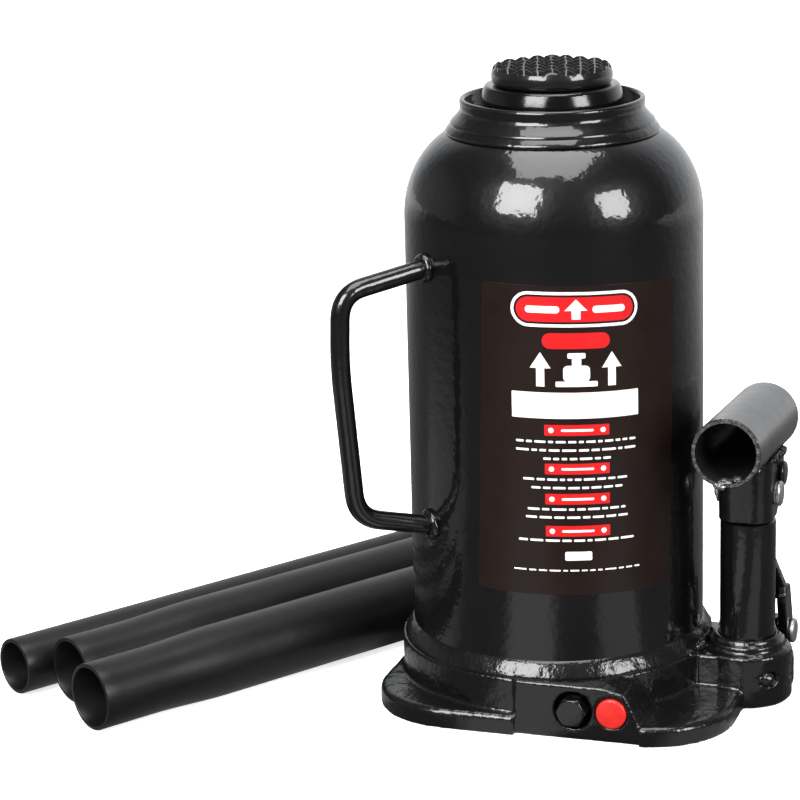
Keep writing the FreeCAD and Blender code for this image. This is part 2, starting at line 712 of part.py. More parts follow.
# --------------------------------------------------------------------- label
sheet = tube(tank_r + label_thickness, tank_r, 40, 180)
window = Part.makeBox(60, label_width, label_height,
                      Vector(0, -label_width / 2, label_middle_z - label_height / 2))
window.rotate(Vector(0, 0, label_middle_z), RIGHT, label_skew_deg)
window.rotate(Vector(0, 0, 0), UP, label_direction_deg)
save(sheet.common(window), "rating_label")


# ------------------------------------------------------------ lever sections
def lever_section(radius, neck_r, neck_length, wall, start_along, start_across):
    """Lever tube lying on the floor; its near end may be necked down."""
    outside = [(neck_r, 0), (neck_r, neck_length), (radius, neck_length + 7),
               (radius, lever_length)]
    inside = [(r - wall, distance) for r, distance in outside[::-1]]
    section = turned(outside + inside)
    section.rotate(Vector(0, 0, 0), BACK, 90)
    section.translate(Vector(start_along, start_across, radius))
    section.rotate(Vector(0, 0, 0), UP, lever_direction_deg)
    return section


for node, radius, neck_r, neck_length, start_along, start_across in lever_sections:
    save(lever_section(radius, neck_r, neck_length, lever_wall, start_along, start_across),
         node)
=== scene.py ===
import json
import math
import random

import bmesh
import bpy
from mathutils import Matrix, Vector, noise


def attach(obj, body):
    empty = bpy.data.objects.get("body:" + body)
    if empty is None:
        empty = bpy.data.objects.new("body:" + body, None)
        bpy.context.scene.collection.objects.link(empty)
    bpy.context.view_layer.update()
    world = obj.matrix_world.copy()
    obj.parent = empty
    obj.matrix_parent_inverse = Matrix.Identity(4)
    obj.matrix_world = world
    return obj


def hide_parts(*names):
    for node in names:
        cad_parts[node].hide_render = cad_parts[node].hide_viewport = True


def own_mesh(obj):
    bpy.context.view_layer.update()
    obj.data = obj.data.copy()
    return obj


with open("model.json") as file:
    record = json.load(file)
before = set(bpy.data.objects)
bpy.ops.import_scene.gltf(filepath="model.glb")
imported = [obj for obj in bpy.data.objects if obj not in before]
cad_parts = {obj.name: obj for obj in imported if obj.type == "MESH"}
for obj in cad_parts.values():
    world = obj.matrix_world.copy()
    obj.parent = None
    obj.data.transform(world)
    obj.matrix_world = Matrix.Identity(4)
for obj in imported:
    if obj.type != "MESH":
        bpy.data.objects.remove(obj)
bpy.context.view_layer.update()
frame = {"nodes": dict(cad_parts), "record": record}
nodes = frame["nodes"]
MM = 0.001


def math_node(tree, kind, first, second=None):
    """Output of a math node whose inputs are numbers or other outputs."""
    node = tree.nodes.new("ShaderNodeMath")
    node.operation = kind
    for slot, value in enumerate((first, second)):
        if isinstance(value, (int, float)):
            node.inputs[slot].default_value = value
        elif value is not None:
            tree.links.new(value, node.inputs[slot])
    return node.outputs[0]


def smooth_range(tree, value, start, end, at_start, at_end):
    """Value mapped smoothly from one range to another."""
    node = tree.nodes.new("ShaderNodeMapRange")
    node.interpolation_type = "SMOOTHSTEP"
    tree.links.new(value, node.inputs["Value"])
    for key, number in (("From Min", start), ("From Max", end), ("To Min", at_start),
                        ("To Max", at_end)):
        node.inputs[key].default_value = number
    return node.outputs["Result"]


def look(name, **k):
    """Material from nodes: uneven colour, uneven roughness, layered bumps and a clear coat."""
    m = bpy.data.materials.new(name)
    m.use_nodes = True
    nt = m.node_tree
    nt.nodes.clear()
    out = nt.nodes.new("ShaderNodeOutputMaterial")
    bsdf = nt.nodes.new("ShaderNodeBsdfPrincipled")
    nt.links.new(bsdf.outputs[0], out.inputs[0])
    coord = nt.nodes.new("ShaderNodeTexCoord")

    def noise_node(scale, detail=2.0, rough=0.5, stretch=(1, 1, 1)):
        mapping = nt.nodes.new("ShaderNodeMapping")
        mapping.inputs["Scale"].default_value = stretch
        nt.links.new(coord.outputs["Object"], mapping.inputs[0])
        n = nt.nodes.new("ShaderNodeTexNoise")
        n.inputs["Scale"].default_value = scale
        n.inputs["Detail"].default_value = detail
        n.inputs["Roughness"].default_value = rough
        nt.links.new(mapping.outputs[0], n.inputs["Vector"])
        return n.outputs["Fac"]

    def ramp(fac, stops):
        r = nt.nodes.new("ShaderNodeValToRGB")
        els = r.color_ramp.elements
        while len(els) < len(stops):
            els.new(0.5)
        for e, (pos, col) in zip(els, stops):
            e.position = pos
            e.color = (*col, 1) if len(col) == 3 else col
        nt.links.new(fac, r.inputs[0])
        return r.outputs[0]

    def grey(v):
        return (v, v, v)

    def bumps(layers):
        last = None
        for fac, dist in layers:
            b = nt.nodes.new("ShaderNodeBump")
            b.inputs["Strength"].default_value = 1.0
            b.inputs["Distance"].default_value = dist
            nt.links.new(fac, b.inputs["Height"])
            if last is not None:
                nt.links.new(last, b.inputs["Normal"])
            last = b.outputs[0]
        nt.links.new(last, bsdf.inputs["Normal"])
        nt.links.new(last, bsdf.inputs["Coat Normal"])

    colour = k.get("colour", (0.02, 0.02, 0.02))
    vary = k.get("vary", 0.25)
    tint = k.get("tint")
    fac = noise_node(k.get("colour_scale", 60), 4, 0.6)
    light = tint or tuple(min(1, c * (1 + vary)) for c in colour)
    dark = tuple(c * (1 - vary) for c in colour)
    base = ramp(fac, [(0.3, dark), (0.7, light)])
    rough = k.get("rough", 0.3)
    rv = k.get("rough_vary", 0.05)
    rfac = noise_node(k.get("rough_scale", 120), 3, 0.6, k.get("stretch", (1, 1, 1)))
    rcol = ramp(rfac, [(0.3, grey(rough - rv)), (0.7, grey(rough + rv))])
    nt.links.new(rcol, bsdf.inputs["Roughness"])
    bsdf.inputs["Metallic"].default_value = k.get("metal", 0.0)
    bsdf.inputs["Specular IOR Level"].default_value = k.get("spec", 0.5)
    if k.get("coat"):
        bsdf.inputs["Coat Weight"].default_value = k["coat"]
        bsdf.inputs["Coat Roughness"].default_value = k.get("coat_rough", 0.08)
    layers = [(noise_node(s, d, 0.5, k.get("stretch", (1, 1, 1))), dist)
              for s, d, dist in k.get("bump", [(400, 2, 0.00002)])]
    bumps(layers)

    # optional second finish above or below a height, such as paint over the end of bare steel
    split = k.get("split_z")
    if split:
        sep = nt.nodes.new("ShaderNodeSeparateXYZ")
        nt.links.new(coord.outputs["Object"], sep.inputs[0])
        wavy = math_node(nt, "MULTIPLY_ADD", noise_node(500, 2), 0.0008)
        nt.links.new(sep.outputs["Z"], wavy.node.inputs[2])
        above = math_node(nt, "GREATER_THAN", wavy, split)
        mix = nt.nodes.new("ShaderNodeMix")
        mix.data_type = "RGBA"
        nt.links.new(above, mix.inputs["Factor"])
        nt.links.new(base, mix.inputs["A"])
        mix.inputs["B"].default_value = (*k["upper_colour"], 1)
        base = mix.outputs["Result"]
        bare = math_node(nt, "SUBTRACT", 1.0, above)
        nt.links.new(math_node(nt, "MULTIPLY", bare, k["metal"]), bsdf.inputs["Metallic"])
    nt.links.new(base, bsdf.inputs["Base Color"])
    return m


BLACK = (0.0022, 0.0022, 0.0024)
M = {
    "gloss": look("gloss_black_paint", colour=BLACK, rough=0.33, rough_vary=0.04, spec=0.17,
                  rough_scale=40, coat=0.85, coat_rough=0.075,
                  bump=[(300, 1.0, 0.00011), (620, 1.0, 0.00003), (36, 1, 0.0002)]),
    "cast": look("cast_black_paint", colour=(0.0026, 0.0026, 0.0028), rough=0.42,
                 rough_vary=0.06, spec=0.1, rough_scale=180, coat=0.85, coat_rough=0.11,
                 bump=[(620, 3, 0.00017), (210, 2, 0.00028), (60, 1, 0.0003)]),
    "saddle": look("saddle_black_paint", colour=(0.0045, 0.0045, 0.0046), rough=0.4, rough_vary=0.05,
                   spec=0.12, coat=0.9, coat_rough=0.1, bump=[(420, 2, 0.00007)]),
    "fork": look("fork_black_paint", colour=(0.004, 0.004, 0.0042), rough=0.34, rough_vary=0.06,
                 spec=0.2, coat=0.6, coat_rough=0.13, bump=[(300, 2, 0.00014), (60, 1, 0.0004)]),
    "socket": look("socket_black_coat", colour=(0.115, 0.115, 0.117), vary=0.12, colour_scale=60,
                   rough=0.22, rough_vary=0.05, spec=0.5, metal=0.9, rough_scale=90,
                   bump=[(260, 2, 0.00004), (50, 1, 0.0002)]),
    "rawcut": look("rough_sawn_edge", colour=(0.03, 0.03, 0.031), vary=0.98, colour_scale=900,
                   tint=(0.1, 0.1, 0.1), rough=0.45, rough_vary=0.15, metal=0.4,
                   bump=[(1300, 4, 0.0004)]),
    "blob": look("bare_weld_bead", colour=(0.2, 0.2, 0.195), vary=0.5, colour_scale=400,
                 rough=0.42, rough_vary=0.1, metal=0.9, bump=[(600, 3, 0.0001)]),
    "zinc": look("zinc_plate", colour=(0.5, 0.5, 0.49), vary=0.14, colour_scale=500, rough=0.4,
                 rough_vary=0.1, metal=1.0, bump=[(700, 3, 0.00008)]),
    "steel": look("ground_steel", colour=(0.5, 0.5, 0.51), vary=0.08, colour_scale=200,
                  rough=0.22, rough_vary=0.06, metal=1.0, rough_scale=300, stretch=(1, 1, 8),
                  bump=[(1500, 2, 0.00001)]),
    "ramsteel": look("ram_steel_painted_top", colour=(0.48, 0.48, 0.49), vary=0.06, rough=0.2,
                     rough_vary=0.05, metal=1.0, spec=0.12, stretch=(1, 1, 6), coat=0.7, coat_rough=0.1,
                     bump=[(500, 2, 0.00004)], split_z=0.2262, upper_colour=BLACK),
    "screwsteel": look("screw_steel_painted_head", colour=(0.3, 0.3, 0.305), vary=0.1,
                       rough=0.3, rough_vary=0.05, metal=1.0, spec=0.12, coat=0.6, coat_rough=0.1,
                       bump=[(420, 2, 0.00008)], split_z=0.2332, upper_colour=BLACK),
    "ball": look("polished_ball", colour=(0.7, 0.7, 0.72), vary=0.03, rough=0.08,
                 rough_vary=0.02, metal=1.0, bump=[(600, 1, 0.000004)]),
    "spring": look("spring_wire", colour=(0.3, 0.29, 0.27), vary=0.15, rough=0.35,
                   rough_vary=0.08, metal=1.0, bump=[(1500, 2, 0.00001)]),
    "bronze": look("turned_bronze", colour=(0.55, 0.36, 0.15), vary=0.1, rough=0.3,
                   rough_vary=0.06, metal=1.0, stretch=(1, 1, 10), bump=[(800, 2, 0.00001)]),
    "rubber": look("moulded_rubber", colour=(0.018, 0.018, 0.018), rough=0.6, rough_vary=0.08,
                   bump=[(900, 3, 0.00004)]),
    "red": look("red_cap_plastic", colour=(0.6, 0.022, 0.016), vary=0.14, colour_scale=240,
                rough=0.34, rough_vary=0.06, spec=0.4, bump=[(500, 2, 0.00006)]),
    "label": look("label_film", colour=(0.0105, 0.0052, 0.0042), vary=0.12, rough=0.34,
                  rough_vary=0.03, spec=0.25, bump=[(60, 1, 0.00006), (500, 2, 0.00001)]),
    "ink_white": look("label_white_ink", colour=(0.8, 0.8, 0.79), vary=0.03, rough=0.4,
                      rough_vary=0.03, spec=0.3, bump=[(700, 2, 0.00001)]),
    "ink_red": look("label_red_ink", colour=(0.55, 0.01, 0.012), vary=0.06, rough=0.38,
                    rough_vary=0.03, spec=0.3, bump=[(700, 2, 0.00001)]),
    "lever": look("lever_tube_paint", colour=(0.003, 0.003, 0.0032), rough=0.46,
                  rough_vary=0.05, spec=0.2, rough_scale=60, coat=0.3, coat_rough=0.3,
                  bump=[(300, 2, 0.00008), (40, 1, 0.0001)]),
}


def new_object(name, bm, material, body, angle=40):
    """Piece from a bmesh in millimetres; edges sharper than the angle in degrees stay sharp."""
    for v in bm.verts:
        v.co *= MM
    bmesh.ops.recalc_face_normals(bm, faces=bm.faces[:])
    limit = math.radians(angle)
    for f in bm.faces:
        f.smooth = True
    for e in bm.edges:
        if len(e.link_faces) == 2 and e.calc_face_angle(0) > limit:
            e.smooth = False
    mesh = bpy.data.meshes.new(name)
    bm.to_mesh(mesh)
    bm.free()
    obj = bpy.data.objects.new(name, mesh)
    bpy.context.scene.collection.objects.link(obj)
    mats = material if isinstance(material, (list, tuple)) else [material]
    for m in mats:
        mesh.materials.append(M[m])
    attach(obj, body)
    return obj


def soften(points, radius=0.4, steps=4):
    """Rounds the inner corners of an open (r, z) line."""
    out = [Vector(points[0])]
    for a, b, c in zip(points, points[1:], points[2:]):
        a, b, c = Vector(a), Vector(b), Vector(c)
        rad = min(radius, (a - b).length * 0.45, (c - b).length * 0.45)
        p = b + (a - b).normalized() * rad
        q = b + (c - b).normalized() * rad
        for i in range(steps + 1):
            t = i / steps
            out.append(p * (1 - t) ** 2 + b * 2 * t * (1 - t) + q * t * t)
    out.append(Vector(points[-1]))
    return out


def bridge(bm, rings, closed=False):
    """Faces between neighbouring rings of vertices; a ring of one vertex is a tip."""
    followers = rings[1:] + rings[:1] if closed else rings[1:]
    faces = []
    for a, b in zip(rings, followers):
        count = max(len(a), len(b))
        for k in range(count if count > 1 else 0):
            n = (k + 1) % count
            corners = (a[k % len(a)], b[k % len(b)], b[n % len(b)], a[n % len(a)])
            faces.append(bm.faces.new(dict.fromkeys(corners)))
    return faces


def revolved(points, segments, closed, warp=None):
    """bmesh in mm from an (r, z) line turned about Z; a point with r 0 is a tip."""
    bm = bmesh.new()
    rings = []
    for i, (r, z) in enumerate(points):
        if r < 1e-6:
            rings.append([bm.verts.new((0, 0, z))])
            continue
        ring = []
        for k in range(segments):
            a = 2 * math.pi * k / segments
            co = Vector((r * math.cos(a), r * math.sin(a), z))
            ring.append(bm.verts.new(warp(co, a, i) if warp else co))
        rings.append(ring)
    bridge(bm, rings, closed)
    return bm


def lathe(points, segments):
    """Solid of revolution from an open line whose ends are on the axis."""
    return revolved(points, segments, False)


def ring_closed(points, segments, warp=None):
    """Solid of revolution from a closed outline that stays off the axis."""
    return revolved(points, segments, True, warp)


def place(bm, matrix):
    """Moves a whole bmesh."""
    bmesh.ops.transform(bm, matrix=matrix, verts=bm.verts[:])
    return bm


def tube_along(path, radius, sides, warp):
    """Rod in mm along points; radius may be a function of the point index."""
    bm = bmesh.new()
    rings = []
    normal = None
    for i, p in enumerate(path):
        nxt = path[min(i + 1, len(path) - 1)]
        prv = path[max(i - 1, 0)]
        t = (nxt - prv).normalized()
        if normal is None:
            ref = Vector((0, 0, 1)) if abs(t.z) < 0.9 else Vector((1, 0, 0))
            normal = t.cross(ref).normalized()
        normal = (normal - t * normal.dot(t)).normalized()
        side = t.cross(normal)
        rad = radius(i) if callable(radius) else radius
        ring = []
        for k in range(sides):
            a = 2 * math.pi * k / sides
            co = p + (normal * math.cos(a) + side * math.sin(a)) * rad
            ring.append(bm.verts.new(warp(co, p)))
        rings.append(ring)
    bridge(bm, rings)
    bm.faces.new(rings[0])
    bm.faces.new(rings[-1][::-1])
    return bm


def lumpy(amount, scale, seed=0.0):
    """Pushes a point away from a centre line by smooth noise."""
    def push(co, centre):
        n = noise.noise(Vector((co.x * scale + seed, co.y * scale, co.z * scale)))
        return co + (co - centre).normalized() * n * amount
    return push


def bent_path(points, bend, steps=10):
    """Polyline in mm with rounded inner corners."""
    out = [points[0].copy()]
    for a, b, c in zip(points, points[1:], points[2:]):
        reach = min(bend, (a - b).length * 0.48, (c - b).length * 0.48)
        p = b + (a - b).normalized() * reach
        q = b + (c - b).normalized() * reach
        for i in range(steps + 1):
            t = i / steps
            out.append(p * (1 - t) ** 2 + b * 2 * t * (1 - t) + q * t * t)
    out.append(points[-1].copy())
    dense = [out[0]]
    for a, b in zip(out, out[1:]):
        n = max(1, int((b - a).length / 2.5))
        dense += [a.lerp(b, (i + 1) / n) for i in range(n)]
    return dense


def polar(r, deg, z):
    """Point in mm at a radius and azimuth about the jack's axis."""
    a = math.radians(deg)
    return Vector((r * math.cos(a), r * math.sin(a), z))


def remeshed(node, name, voxel, smooth_steps, material, body, rough=None):
    """Copy of a CAD node with rounded, cast-looking edges, standing in for the node."""
    src = nodes[node]
    mesh = src.data.copy()
    mesh.transform(Matrix.Scale(1 / MM, 4))
    obj = bpy.data.objects.new(name + "_tmp", mesh)
    bpy.context.scene.collection.objects.link(obj)
    w = obj.modifiers.new("weld", "WELD")
    w.merge_threshold = 1e-3
    r = obj.modifiers.new("voxels", "REMESH")
    r.mode = "VOXEL"
    r.voxel_size = voxel
    s = obj.modifiers.new("soft", "SMOOTH")
    s.factor = 0.5
    s.iterations = smooth_steps
    deps = bpy.context.evaluated_depsgraph_get()
    done = bpy.data.meshes.new_from_object(obj.evaluated_get(deps))
    bpy.data.objects.remove(obj)
    if rough:
        amount, scale = rough
        spots = [(v.co.copy(), v.normal.copy()) for v in done.vertices]
        moved = []
        for spot, normal in spots:
            n = noise.noise(spot * scale) + 0.5 * noise.noise(spot * scale * 2.3)
            moved.extend(spot + normal * n * amount)
        done.vertices.foreach_set("co", moved)
        done.update()
    done.transform(Matrix.Scale(MM, 4))
    for poly in done.polygons:
        poly.use_smooth = True
    done.materials.clear()
    done.materials.append(M[material])
    piece = bpy.data.objects.new(name, done)
    bpy.context.scene.collection.objects.link(piece)
    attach(piece, body)
    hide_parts(node)
    return piece


# ------------------------------------------------------------------ CAD nodes kept as they are
KEPT = {
    "ram_wiper_seal": "rubber", "ram_guide_bush": "bronze", "main_cylinder": "steel",
    "main_cylinder_gasket": "rubber", "piston_ring": "steel", "piston_cup_seal": "rubber",
    "piston_nut": "steel", "screw_stop_ring": "steel", "pump_gland_nut": "steel",
    "pump_packing": "rubber", "plunger_cup_seal": "rubber", "pump_plunger": "steel",
    "release_valve_oring": "rubber", "release_valve_ball": "ball", "safety_valve_ball": "ball",
    "suction_valve_ball": "ball", "delivery_valve_ball": "ball", "delivery_valve_seat": "steel",
    "safety_valve_adjuster": "steel", "safety_valve_spring": "spring",
    "delivery_valve_spring": "spring", "passage_plugs": "cast", "plunger_pin_washer": "zinc",
    "fork_pin_clips": "zinc", "link_lower_clip": "zinc",
}
ROUND_WIRE = ("safety_valve_spring", "delivery_valve_spring", "release_valve_oring")
for node, material in KEPT.items():
    part = nodes[node]
    part.data.materials.clear()
    part.data.materials.append(M[material])
    for poly in part.data.polygons:
        poly.use_smooth = True
    weld = part.modifiers.new("weld", "WELD")
    weld.merge_threshold = 1e-6
    if node not in ROUND_WIRE:
        edge = part.modifiers.new("edge", "BEVEL")
        edge.width = 0.22 * MM
        edge.segments = 2
        edge.limit_method = "ANGLE"
        edge.angle_limit = math.radians(35)
        edge.harden_normals = False
    shading = part.modifiers.new("normals", "WEIGHTED_NORMAL")
    shading.keep_sharp = True


# ------------------------------------------------------------------ reservoir tank
TANK_R = 56.1
WALL = 2.6
FOOT_Z = 21
DOME_START = 185.7
DOME_RISE = 34.2
DOME_RADIUS = TANK_R / 2
HEAD_HOLE_R = 37.0
JOINT_Z = DOME_START + DOME_RISE * math.sin(
    math.acos((HEAD_HOLE_R - TANK_R + DOME_RADIUS) / DOME_RADIUS))


def dome_line(inset):
    """(r, z) points of the dome, a quarter ellipse that stops at the head's hole."""
    points = []
    for i in range(41):
        t = math.radians(75) * i / 40
        r = TANK_R - DOME_RADIUS + (DOME_RADIUS - inset) * math.cos(t)
        if r > HEAD_HOLE_R:
            points.append((r, DOME_START + (DOME_RISE - inset) * math.sin(t)))
    return points


tank_height = DOME_START - FOOT_Z
outer = [(TANK_R, FOOT_Z + tank_height * i / 24) for i in range(24)] + dome_line(0)
outer += [(HEAD_HOLE_R, outer[-1][1] + 0.35)]
inside = dome_line(WALL)[::-1]
inner = [(HEAD_HOLE_R, inside[0][1] + 0.35)] + inside
inner += [(TANK_R - WALL, DOME_START - tank_height * i / 8) for i in range(1, 9)]
tank = new_object("tank_shell", ring_closed(outer + inner, 224), "gloss", "jack_body")
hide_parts("reservoir_shell")

# hole for the filler plug, at the back
FILLER_Z = 160
cutter_bm = bmesh.new()
bmesh.ops.create_cone(cutter_bm, cap_ends=True, segments=48, radius1=5.0, radius2=5.0, depth=14)
place(cutter_bm, Matrix.Translation((0, 55, FILLER_Z)) @ Matrix.Rotation(math.pi / 2, 4, "X"))
for v in cutter_bm.verts:
    v.co *= MM
cutter_mesh = bpy.data.meshes.new("filler_hole")
cutter_bm.to_mesh(cutter_mesh)
cutter = bpy.data.objects.new("filler_hole", cutter_mesh)
bpy.context.scene.collection.objects.link(cutter)
cut = tank.modifiers.new("hole", "BOOLEAN")
cut.object = cutter
cut.solver = "EXACT"
holed = bpy.data.meshes.new_from_object(tank.evaluated_get(bpy.context.evaluated_depsgraph_get()))
tank.modifiers.clear()
tank.data = holed
bpy.data.objects.remove(cutter)
for poly in tank.data.polygons:
    poly.use_smooth = True


def bead_warp(amount, waves, seed, keep=lambda i: False):
    """Weld bead surface: uneven ripples along the run."""
    def f(co, a, i):
        if keep(i):
            return co
        n = noise.noise(Vector((math.cos(a) * waves, math.sin(a) * waves, i * 0.7 + seed)))
        m = noise.noise(Vector((math.cos(a) * waves * 0.22, math.sin(a) * waves * 0.22, seed)))
        flat = Vector((co.x, co.y, 0)).normalized()
        return co + flat * (n * amount + m * amount * 0.8) + Vector((0, 0, 1)) * (n * amount * 0.5)
    return f


foot_line = [(56.0, 20.4), (59.5, 20.4), (59.7, 21.2), (59.4, 22.1), (58.8, 23.2), (58.0, 24.7),
             (57.1, 26.1), (56.5, 26.9), (56.0, 27.3)]
foot = new_object("tank_foot_weld", ring_closed(foot_line, 620, bead_warp(
    0.15, 13, 1.0, lambda i: i in (0, 8))), "cast", "jack_body", angle=80)
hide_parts("reservoir_foot_weld")

collar_line = [(26.66, 213.0), (26.66, 218.5), (29.6, 218.5), (29.6, 222.0), (26.66, 222.0),
               (26.66, 223.6), (27.2, 224.0), (31.9, 224.0), (32.4, 224.5), (32.4, 228.6),
               (32.7, 229.25), (33.2, 229.6), (33.9, 229.55), (34.4, 229.2), (34.62, 228.5),
               (34.5, 227.2), (34.4, 225.9), (34.62, 225.0), (35.1, 224.25), (36.2, 222.9),
               (37.3, 221.75), (37.9, 221.2), (38.2, 220.7), (38.3, 220.2), (38.3, 218.3),
               (36.98, 218.2), (36.98, 205.0), (34.02, 205.0), (34.02, 213.0)]
collar = new_object("cylinder_head_collar_turned", ring_closed(collar_line, 224), "gloss",
                    "jack_body", angle=50)
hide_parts("cylinder_head_collar")
z = JOINT_Z
seam_line = [(38.2, z - 0.3), (39.2, z - 1.1), (40.0, z - 1.15), (40.2, z - 0.75), (39.7, z + 0.15),
             (38.95, z + 1.1), (38.2, z + 1.9)]
seam = new_object("collar_seam_weld", ring_closed(seam_line, 520, bead_warp(
    0.09, 14, 5.0, lambda i: i in (0, 6))), "gloss", "jack_body", angle=80)
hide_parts("collar_weld")

# ------------------------------------------------------------------ cast base
remeshed("base_casting", "cast_base", 0.6, 5, "cast", "jack_body",
         rough=(0.1, 0.22))


# ------------------------------------------------------------------ ram and screw
ram_line = [(0, 14.6), (19.0, 14.6), (20.0, 15.6), (20.0, 40.0), (26.6, 40.0)]
ram_line += [(26.6, 40 + 24.0 * i) for i in range(1, 8)]
ram_line += [(26.6, 228.0), (26.6, 229.2), (26.5, 229.9), (25.45, 233.2), (25.15, 233.85),
             (24.7, 234.25), (24.1, 234.4), (17.6, 234.4), (17.1, 233.9), (17.1, 208.4), (19.6, 206.4),
             (19.6, 130.0), (0, 124.0)]
ram = new_object("ram_turned", lathe(ram_line, 192), "ramsteel", "ram_body",
                 angle=35)
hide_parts("ram")

SCREW_SEGMENTS = 288
PITCH = 6.0
ROOT_R = 15.2
THREAD_DEPTH = 1.8
SCREW_FOOT = 138.0
HEAD_FOOT = 234.45


def thread_r(z, a):
    """Radius of the right-hand screw thread at a height and angle."""
    p = ((z - SCREW_FOOT) / PITCH - a / (2 * math.pi)) % 1.0
    run = min(1.0, max(0.0, (233.0 - z) / 5.0)) * min(1.0, max(0.0, (z - 139.0) / 4.0))
    if p < 0.27:
        s = 0.0
    elif p < 0.43:
        s = (p - 0.27) / 0.16
    elif p < 0.84:
        s = 1.0
    else:
        s = (1.0 - p) / 0.16
    s = s * s * (3 - 2 * s)
    return ROOT_R + THREAD_DEPTH * s * run


def crown(x, y):
    """Drop of the saddle's serrated top below its crests: staggered rows of blunt pyramids."""
    x = x + 0.7 * noise.noise(Vector((x * 0.12, y * 0.12, 5.0)))
    y = y + 0.7 * noise.noise(Vector((x * 0.12, y * 0.12, 8.0)))
    deepest = 0.0
    for deg, pitch in ((50.0, 5.9), (-18.0, 5.9)):
        t = math.radians(deg)
        u = (-x * math.sin(t) + y * math.cos(t)) / pitch
        off = abs((u % 1.0) - 0.5) * 2.0
        flank = max(0.0, 1.0 - off / 0.86)
        deepest = max(deepest, flank * flank * (3 - 2 * flank))
    return 2.2 * deepest


screw_bm = bmesh.new()
screw_rings = [[screw_bm.verts.new((0, 0, SCREW_FOOT))]]


def screw_ring(z, radius_of, height_of=None):
    """Adds a ring of vertices whose radius depends on angle and whose height on place."""
    ring = []
    for k in range(SCREW_SEGMENTS):
        a = 2 * math.pi * k / SCREW_SEGMENTS
        r = radius_of(a)
        x, y = r * math.cos(a), r * math.sin(a)
        ring.append(screw_bm.verts.new((x, y, z + (height_of(x, y) if height_of else 0))))
    screw_rings.append(ring)


screw_ring(SCREW_FOOT, lambda a: 10.2)
screw_ring(138.8, lambda a: 11.0)
screw_ring(144.7, lambda a: 11.0)
screw_ring(145.0, lambda a: 14.8)
z = 145.4
while z < 234.0:
    screw_ring(z, lambda a, z=z: thread_r(z, a))
    z += 0.5
for r, z in ((ROOT_R, HEAD_FOOT), (21.0, HEAD_FOOT), (21.7, 234.7), (22.2, 235.3), (22.5, 236.2),
             (22.6, 237.2), (22.55, 238.4), (22.3, 239.6), (21.95, 240.4)):
    screw_ring(z, lambda a, r=r: r)
SADDLE_TOP = 242.0


def rim_drop(r):
    """Rounded shoulder of the saddle head."""
    t = max(0.0, (r - 19.4) / 2.5)
    return 1.5 * (1 - math.sqrt(max(0.0, 1 - min(1.0, t) ** 2)))


def top_height(x, y):
    r = math.hypot(x, y)
    chip = 0.12 * noise.noise(Vector((x * 0.6, y * 0.6, 3.0)))
    return -max(crown(x, y) * (1.0 + 0.08 * noise.noise(Vector((x * 0.25, y * 0.25, 9.0)))),
                rim_drop(r)) - abs(chip)


steps = 62
for i in range(steps):
    r = 21.85 * (1 - i / steps)
    screw_ring(SADDLE_TOP, lambda a, r=r: r, top_height)
screw_rings.append([screw_bm.verts.new((0, 0, SADDLE_TOP + top_height(0, 0)))])
for face in bridge(screw_bm, screw_rings):
    face.material_index = 1 if face.verts[0].co.z > HEAD_FOOT - 0.05 else 0
screw = new_object("extension_screw_threaded", screw_bm, ["screwsteel", "saddle"], "screw_body",
                   angle=70)
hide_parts("extension_screw")

# ------------------------------------------------------------------ carry handle
HANDLE_AZIMUTH = -132.0
handle_path = bent_path([polar(r, HANDLE_AZIMUTH, z) for r, z in (
    (54.6, 171.8), (91.6, 166.6), (92.6, 140.0), (87.6, 81.0), (54.6, 72.0))], 9.6, 12)
handle = new_object("carry_handle_rod", tube_along(handle_path, 3.6, 36, lumpy(0.05, 0.2)), "gloss",
                    "jack_body", angle=60)
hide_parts("carry_handle")


def blob_ring(centre, axis, ring_r, bead_r, seed):
    """Uneven weld bead around a rod end, lying against a surface."""
    squash, count, sides = 0.8, 160, 20
    axis = axis.normalized()
    side = axis.cross(Vector((0, 0, 1)))
    side = side.normalized() if side.length > 0.1 else Vector((1, 0, 0))
    up = side.cross(axis).normalized()
    bm = bmesh.new()
    rings = []
    for k in range(count):
        a = 2 * math.pi * k / count
        out = side * math.cos(a) + up * math.sin(a)
        c = centre + out * ring_r
        swell = 1 + 0.3 * noise.noise(Vector((math.cos(a) * 1.1, math.sin(a) * 1.1, seed)))
        ring = []
        for j in range(sides):
            b = 2 * math.pi * j / sides
            n = noise.noise(out * 2.0 + Vector((math.cos(b), math.sin(b), seed)) * 0.5)
            rad = bead_r * swell * (1 + 0.22 * n)
            ring.append(bm.verts.new(c + out * math.cos(b) * rad * squash
                                     + axis * math.sin(b) * rad))
        rings.append(ring)
    bridge(bm, rings, True)
    return bm


def merged(parts):
    """One bmesh from several."""
    whole = bmesh.new()
    for bm in parts:
        mesh = bpy.data.meshes.new("part")
        bm.to_mesh(mesh)
        bm.free()
        whole.from_mesh(mesh)
        bpy.data.meshes.remove(mesh)
    return whole


outward = polar(1, HANDLE_AZIMUTH, 0)
welds = merged([blob_ring(polar(56.5, HANDLE_AZIMUTH, 171.6), outward, 4.1, 1.9, 1.0),
                blob_ring(polar(56.5, HANDLE_AZIMUTH, 72.5), outward, 4.3, 2.0, 4.0)])
handle_welds = new_object("carry_handle_weld_beads", welds, "gloss", "jack_body",
                          angle=80)
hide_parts("carry_handle_welds")

# ------------------------------------------------------------------ hand pump
PUMP_X = 75.0
pump_line = [(7.5, 13.6), (10.55, 13.6), (10.55, 40.0), (10.55, 70.0), (10.4, 70.7), (9.9, 71.1),
             (9.4, 71.2), (7.9, 71.2), (7.5, 70.8)]
pump_bm = place(ring_closed(pump_line, 128), Matrix.Translation((PUMP_X, 0, 0)))
pump = new_object("pump_tube", pump_bm, "gloss", "jack_body", angle=35)
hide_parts("pump_cylinder")

